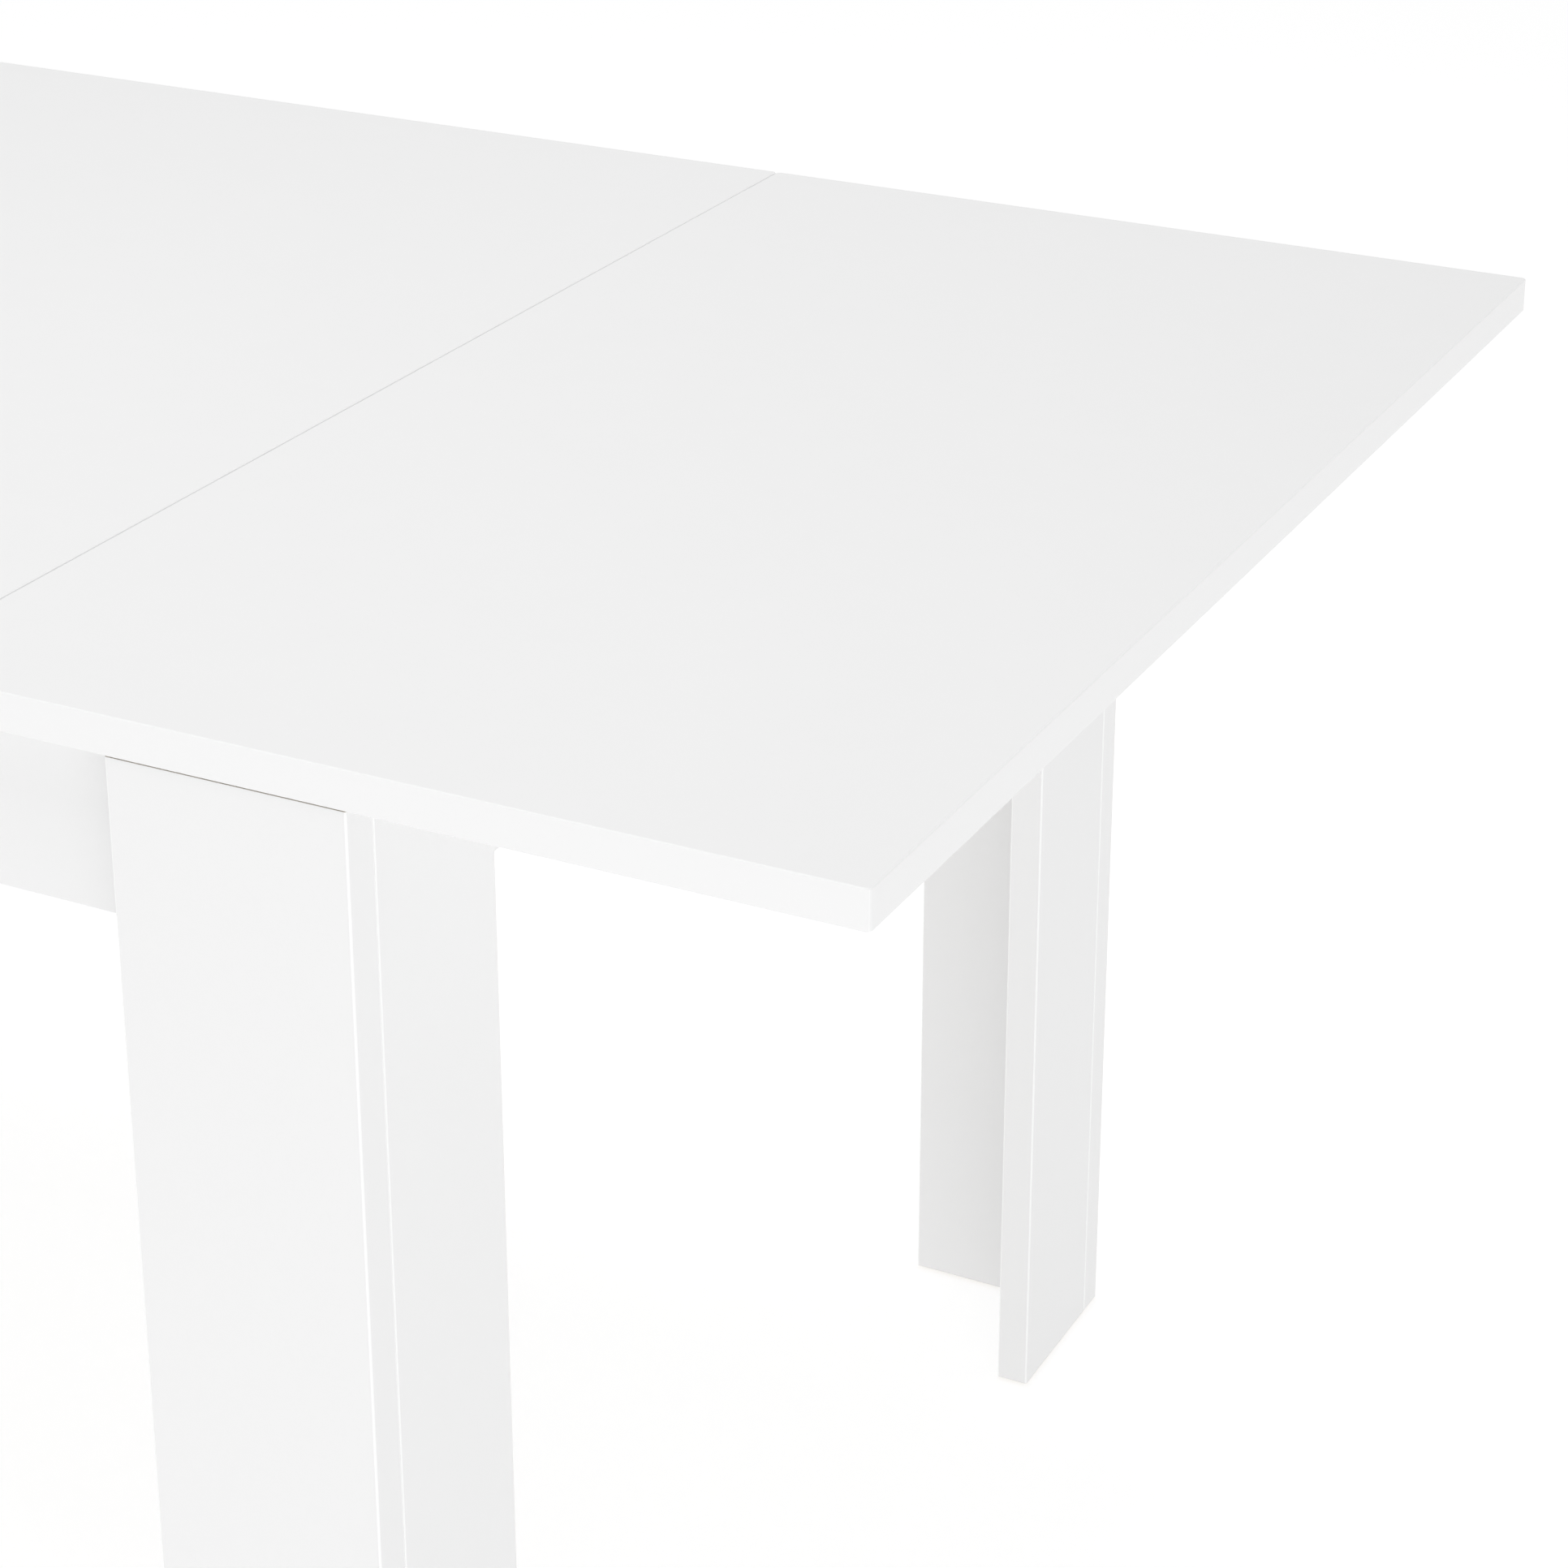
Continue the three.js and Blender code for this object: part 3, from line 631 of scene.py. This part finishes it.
class TABLE_OT_hinges(TableOperator):
    """Finish the hinge cases and links, and add the hinge screws"""

    bl_idname = "table.hinges"
    bl_label = "Hinges"

    def execute(self, context):
        plate = zinc_plate("hinge_zinc")
        sizes = context.scene.table_fittings
        head = pan_head(sizes.hinge_screw_head, sizes.hinge_screw_head * HINGE_SCREW_FLATNESS)
        for half, body, outward in (("top", "sliding_top", 1.0), ("leaf", "leaf", -1.0)):
            places = []
            for hinge in HINGES:
                node = f"hinge_case_{half}_{hinge}"
                dress(node, plate, 0.15 * MM)
                low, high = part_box(node)
                face = face_at((low, high), 0, outward)
                middle, reach = (low + high) / 2, (high.y - low.y) / 2
                places += [(face, middle.y + sign * reach * HINGE_SCREW_SHARE, middle.z) for sign in (-1, 1)]
            turns = np.arange(len(places)) * 0.9
            points, faces = spread(*head, places, [(outward, 0, 0)] * len(places), turns)
            make_piece(f"hinge_screws_{half}", points, faces, plate, body)
        for hinge in HINGES:
            dress(f"hinge_link_{hinge}", plate, 0.2 * MM)
        return {"FINISHED"}


class TABLE_OT_leg_bolts(TableOperator):
    """Build the bolts that hold the legs to the aprons"""

    bl_idname = "table.leg_bolts"
    bl_label = "Leg bolts"

    def execute(self, context):
        plate = zinc_plate("bolt_zinc")
        for end, side in CORNERS:
            node = f"leg_bolt_{end}_{side}"
            low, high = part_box(node)
            inward = -SIDE_SIGN[side]
            shape = socket_bolt((high.x - low.x) / 2, high.y - low.y)
            middle = (low + high) / 2
            seat = (middle.x, face_at((low, high), 1, inward) - inward * BOLT_HEAD_HEIGHT, middle.z)
            points, faces = spread(*shape, [seat], [(0, inward, 0)], [BOLT_TURN])
            piece = make_piece(f"{node}_domed", points, faces, plate, "base")
            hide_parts(node)
        return {"FINISHED"}


class TABLE_OT_cams(TableOperator):
    """Add the cam fittings that pull the boards together"""

    bl_idname = "table.cams"
    bl_label = "Cam fittings"

    def execute(self, context):
        plate = zinc_plate("cam_zinc")
        disc = cam_disc(context.scene.table_fittings.cam_diameter, CAM_PROUD)
        places, towards = [], []
        for end, side in CORNERS:
            low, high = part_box(f"leg_end_board_{end}_{side}")
            inner = face_at((low, high), 0, -END_SIGN[end])
            y = face_at((low, high), 1, SIDE_SIGN[side]) - SIDE_SIGN[side] * CAM_INSET
            for share in CAM_HEIGHT_SHARES:
                places.append((inner, y, low.z + (high.z - low.z) * share))
                towards.append((-END_SIGN[end], 0, 0))
        for end in ENDS:
            low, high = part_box(f"apron_{end}")
            inner = face_at((low, high), 0, -END_SIGN[end])
            for y in (low.y + APRON_CAM_INSET, high.y - APRON_CAM_INSET):
                places.append((inner, y, (low.z + high.z) / 2))
                towards.append((-END_SIGN[end], 0, 0))
        turns = np.arange(len(places)) * 1.3
        points, faces = spread(*disc, places, towards, turns)
        make_piece("cam_fittings", points, faces, plate, "base")
        return {"FINISHED"}


class TABLE_OT_screws(TableOperator):
    """Add the screws in the runners, battens, channels and corner blocks"""

    bl_idname = "table.screws"
    bl_label = "Screws"

    def execute(self, context):
        sizes = context.scene.table_fittings
        plate = zinc_plate("screw_zinc")
        head = pan_head(sizes.screw_head, sizes.screw_height)
        places = []
        for side in SIDES:
            low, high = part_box(f"runner_{side}")
            margin = RUNNER_SCREW_MARGIN
            for x in np.linspace(low.x + margin, high.x - margin, sizes.runner_screws):
                places.append((x, (low.y + high.y) / 2, low.z))
        for end in ENDS:
            low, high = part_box(f"top_batten_{end}")
            margin = BATTEN_SCREW_MARGIN
            for y in np.linspace(low.y + margin, high.y - margin, sizes.batten_screws):
                places.append(((low.x + high.x) / 2, y, low.z))
        turns = np.arange(len(places)) * 0.77
        points, faces = spread(*head, places, [(0, 0, -1)] * len(places), turns)
        make_piece("top_screws", points, faces, plate, "sliding_top")
        self.base_screws(sizes, plate)
        return {"FINISHED"}

    def base_screws(self, sizes, plate):
        """The flatter screws through the channels' backs and the corner blocks' slanting faces."""
        flat_head = pan_head(sizes.screw_head * FLAT_SCREW_SHARE, FLAT_SCREW_HEIGHT)
        places, towards = [], []
        for side in SIDES:
            low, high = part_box(f"guide_{side}")
            inward = -SIDE_SIGN[side]
            back = face_at((low, high), 1, -inward) + inward * GUIDE_WALL
            margin = GUIDE_SCREW_MARGIN
            for x in np.linspace(low.x + margin, high.x - margin, sizes.guide_screws):
                places.append((x, back, (low.z + high.z) / 2))
                towards.append((0, inward, 0))
        for end, side in CORNERS:
            low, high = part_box(f"corner_block_{end}_{side}")
            outward = Vector((END_SIGN[end], SIDE_SIGN[side], 0))
            corner = Vector([face_at((low, high), axis, outward[axis]) for axis in (0, 1)] + [0])
            leg = high.x - low.x
            middle = corner - outward * (leg + BLOCK_NOSE) / 2
            for share in BLOCK_SCREW_SHARES:
                places.append((middle.x, middle.y, low.z + (high.z - low.z) * share))
                towards.append(-outward)
        turns = np.arange(len(places)) * 0.63
        points, faces = spread(*flat_head, places, towards, turns)
        make_piece("base_screws", points, faces, plate, "base")


class TABLE_OT_stage(TableOperator):
    """Build the floor, the soft lights and the camera"""

    bl_idname = "table.stage"
    bl_label = "Studio"

    def execute(self, context):
        look = context.scene.table_studio
        self.floor()
        self.lights(context, look)
        self.camera(context, look)
        return {"FINISHED"}

    def floor(self):
        """A wide flat grid at the level of the table's lowest point."""
        steps = np.linspace(-FLOOR_REACH, FLOOR_REACH, FLOOR_CELLS + 1)
        x, y = np.meshgrid(steps, steps, indexing="ij")
        points = np.stack([x, y, np.full_like(x, CAD_BOX[0].z)], -1).reshape(-1, 3)
        row = len(steps)
        i, j = np.meshgrid(np.arange(FLOOR_CELLS), np.arange(FLOOR_CELLS), indexing="ij")
        corner = (i * row + j).reshape(-1)
        faces = np.stack([corner, corner + row, corner + row + 1, corner + 1], -1)
        mesh = bpy.data.meshes.new("studio_floor")
        mesh.from_pydata(points.tolist(), [], faces.tolist())
        mesh.materials.append(studio_floor("pale_floor"))
        floor = bpy.data.objects.new("studio_floor", mesh)
        bpy.context.scene.collection.objects.link(floor)

    def lights(self, context, look):
        world = bpy.data.worlds.new("studio_sky")
        world.use_nodes = True
        background = world.node_tree.nodes["Background"]
        background.inputs["Color"].default_value = (1.0, 1.0, 1.0, 1.0)
        background.inputs["Strength"].default_value = look.sky
        context.scene.world = world
        for name, (power, place, aim, size) in LIGHTS.items():
            self.area(name, getattr(look, power), place, aim, size)
        context.scene.view_settings.view_transform = "Standard"
        context.scene.view_settings.look = "None"

    def area(self, name, power, place, aim, size):
        light = bpy.data.lights.new(name, "AREA")
        light.energy = power
        light.shape = "RECTANGLE"
        light.size, light.size_y = size
        lamp = bpy.data.objects.new(name, light)
        lamp.location = place
        lamp.visible_camera = False
        lamp.rotation_euler = (Vector(aim) - Vector(place)).to_track_quat("-Z", "Y").to_euler()
        bpy.context.scene.collection.objects.link(lamp)

    def camera(self, context, look):
        data = bpy.data.cameras.new("camera")
        data.lens = look.lens
        data.sensor_width = 36.0
        data.shift_y = look.drop
        camera = bpy.data.objects.new("camera", data)
        camera.location = look.camera_place
        camera.rotation_euler = Euler((math.pi / 2 - look.camera_tilt, 0.0, look.camera_turn))
        context.scene.collection.objects.link(camera)
        context.scene.camera = camera


OPERATORS = (
    TABLE_OT_stage, TABLE_OT_top_panels, TABLE_OT_legs, TABLE_OT_frame_boards, TABLE_OT_wood, TABLE_OT_slide,
    TABLE_OT_hinges, TABLE_OT_leg_bolts, TABLE_OT_cams, TABLE_OT_screws,
)


class TABLE_PT_sidebar(bpy.types.Panel):
    """The table's pieces and settings"""

    bl_idname = "TABLE_PT_sidebar"
    bl_label = "Extension table"
    bl_space_type = "VIEW_3D"
    bl_region_type = "UI"
    bl_category = "Table"

    def draw(self, context):
        for operator in OPERATORS:
            self.layout.operator(operator.bl_idname)
        for group in (context.scene.table_boards, context.scene.table_fittings, context.scene.table_studio):
            box = self.layout.box()
            for key in group.__annotations__:
                box.prop(group, key)


GROUPS = {"table_boards": BoardFinish, "table_fittings": FittingSizes, "table_studio": Studio}


def register():
    for cls in (*GROUPS.values(), *OPERATORS, TABLE_PT_sidebar):
        bpy.utils.register_class(cls)
    for key, cls in GROUPS.items():
        setattr(bpy.types.Scene, key, PointerProperty(type=cls))


def unregister():
    for key in GROUPS:
        delattr(bpy.types.Scene, key)
    for cls in reversed((*GROUPS.values(), *OPERATORS, TABLE_PT_sidebar)):
        bpy.utils.unregister_class(cls)


def build_table():
    register()
    for operator in OPERATORS:
        name = operator.bl_idname.split(".")[1]
        getattr(bpy.ops.table, name)()


if __name__ == "__main__":
    build_table()
